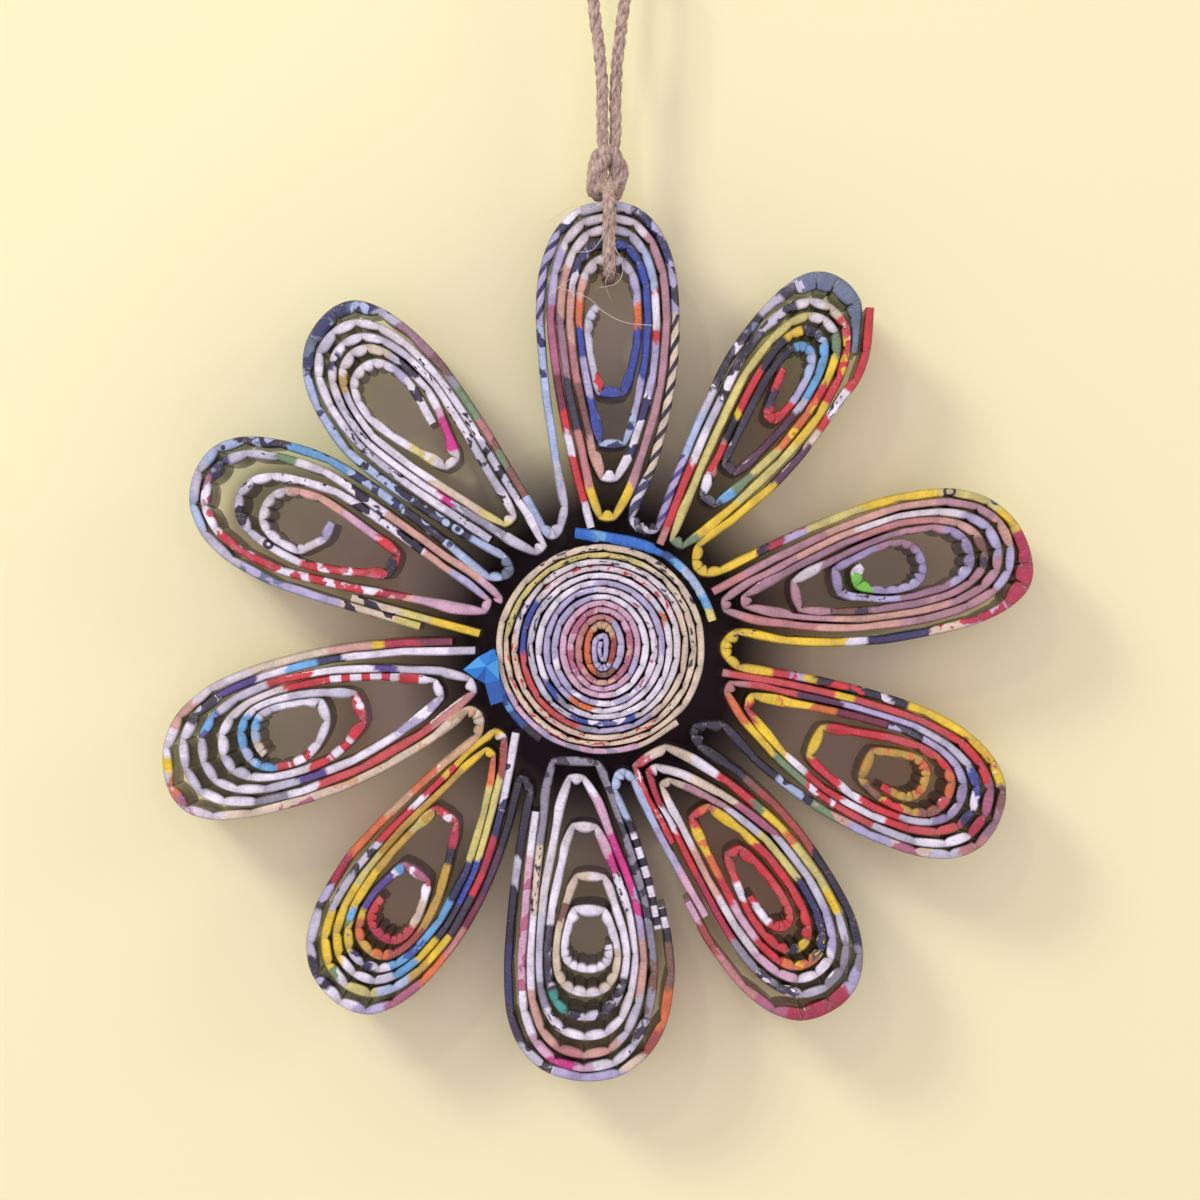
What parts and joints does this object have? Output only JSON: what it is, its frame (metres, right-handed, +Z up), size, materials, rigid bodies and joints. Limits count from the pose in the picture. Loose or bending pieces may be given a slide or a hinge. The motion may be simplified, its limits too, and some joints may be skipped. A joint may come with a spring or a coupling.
{
  "type": "paper daisy ornament",
  "caption": "Hanging daisy of wound strips of folded magazine paper, with petals round a tightly coiled centre and a loop of twine.",
  "frame": {"origin": "where a hook bears on the underside of the twine loop's highest point", "axes": "+Z up along the hanging twine, -Y out of the flower's front, +X to its right as seen from the front"},
  "size_m": [0.1199, 0.014, 0.1626],
  "materials": {
    "centre_coil": "printed magazine paper, folded into a strip and varnished",
    "centre_wrap_side": "printed magazine paper, folded into a strip and varnished",
    "centre_wrap_top": "printed magazine paper, folded into a strip and varnished",
    "outline_strip_a": "printed magazine paper, folded into a strip and varnished",
    "outline_strip_b": "printed magazine paper, folded into a strip and varnished",
    "outline_strip_c": "printed magazine paper, folded into a strip and varnished",
    "outline_strip_d": "printed magazine paper, folded into a strip and varnished",
    "outline_strip_e": "printed magazine paper, folded into a strip and varnished",
    "petal_01": "printed magazine paper, folded into a strip and varnished",
    "petal_02": "printed magazine paper, folded into a strip and varnished",
    "petal_03": "printed magazine paper, folded into a strip and varnished",
    "petal_04": "printed magazine paper, folded into a strip and varnished",
    "petal_05": "printed magazine paper, folded into a strip and varnished",
    "petal_06": "printed magazine paper, folded into a strip and varnished",
    "petal_07": "printed magazine paper, folded into a strip and varnished",
    "petal_08": "printed magazine paper, folded into a strip and varnished",
    "petal_09": "printed magazine paper, folded into a strip and varnished",
    "petal_10": "printed magazine paper, folded into a strip and varnished",
    "twine_knot": "natural jute twine",
    "twine_loop": "natural jute twine",
    "twine_sling": "natural jute twine"
  },
  "bodies": {
    "root": {"centre_coil": "centre_coil", "centre_wrap_side": "centre_wrap_side", "centre_wrap_top": "centre_wrap_top", "outline_strip_a": "outline_strip_a", "outline_strip_b": "outline_strip_b", "outline_strip_c": "outline_strip_c", "outline_strip_d": "outline_strip_d", "outline_strip_e": "outline_strip_e", "petal_01": "petal_01", "petal_02": "petal_02", "petal_03": "petal_03", "petal_04": "petal_04", "petal_05": "petal_05", "petal_06": "petal_06", "petal_07": "petal_07", "petal_08": "petal_08", "petal_09": "petal_09", "petal_10": "petal_10", "twine_knot": "twine_knot", "twine_loop": "twine_loop", "twine_sling": "twine_sling"}
  },
  "joints": []
}
